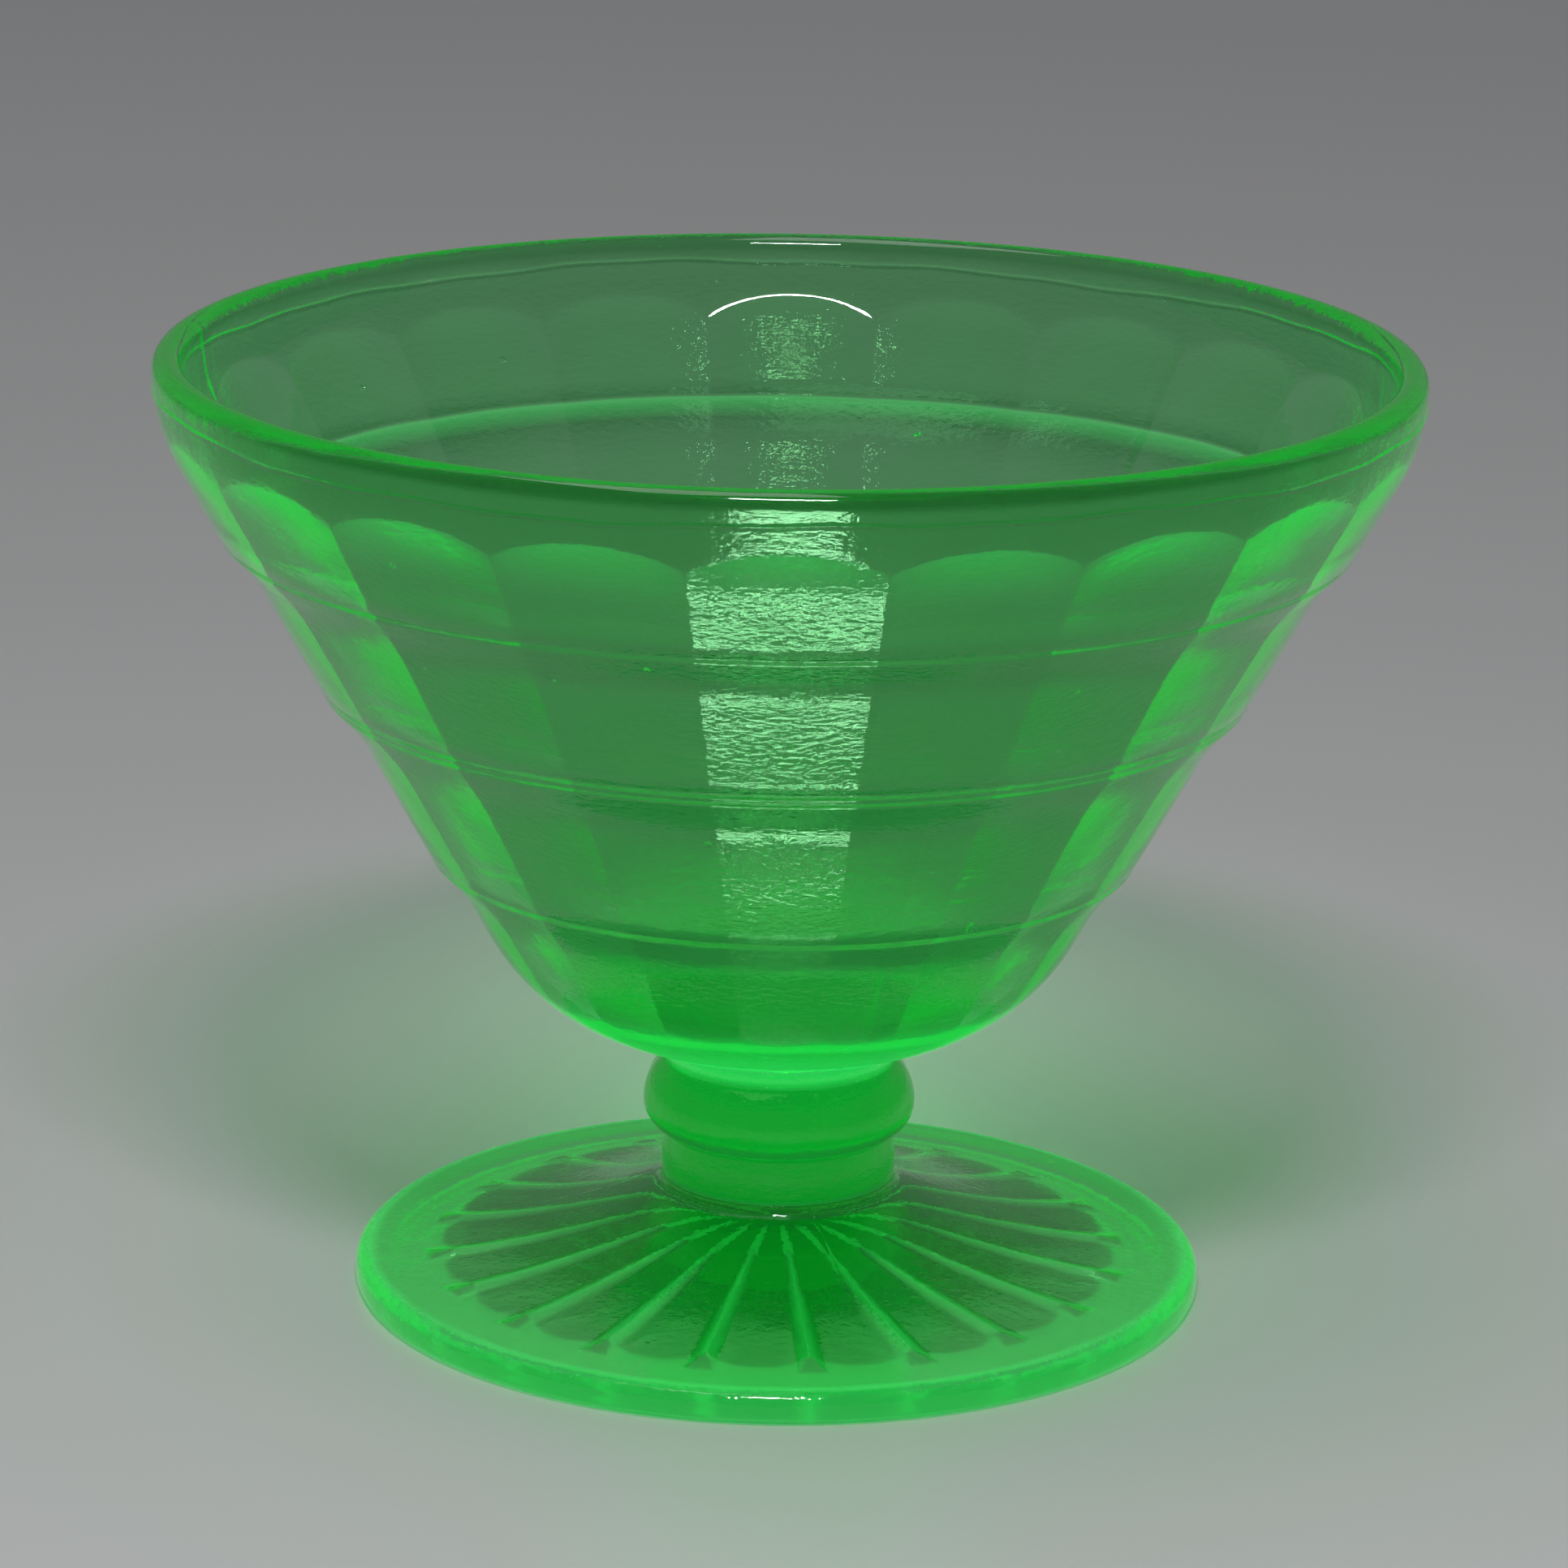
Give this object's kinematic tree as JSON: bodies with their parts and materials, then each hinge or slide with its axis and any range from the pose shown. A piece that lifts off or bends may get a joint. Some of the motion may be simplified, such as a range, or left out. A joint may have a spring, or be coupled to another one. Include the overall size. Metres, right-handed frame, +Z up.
{
  "type": "footed dessert dish",
  "caption": "Low footed dessert dish in pressed uranium glass: a ringed conical bowl with flat panels inside, on a knopped stem and a round rayed foot.",
  "frame": {"origin": "centre of the resting ring under the foot, on the table", "axes": "+Z up along the axis of the pressing, towards the rim; -Y faces the viewer, with a panel of the bowl square to it"},
  "size_m": [0.1, 0.1, 0.077],
  "materials": {
    "uranium_glass": "fire-polished inside, lightly hammered mould texture outside, glows green under ultraviolet light"
  },
  "bodies": {
    "root": {"foot": "uranium_glass", "collar": "uranium_glass", "knop": "uranium_glass", "bowl": "uranium_glass"}
  },
  "joints": []
}
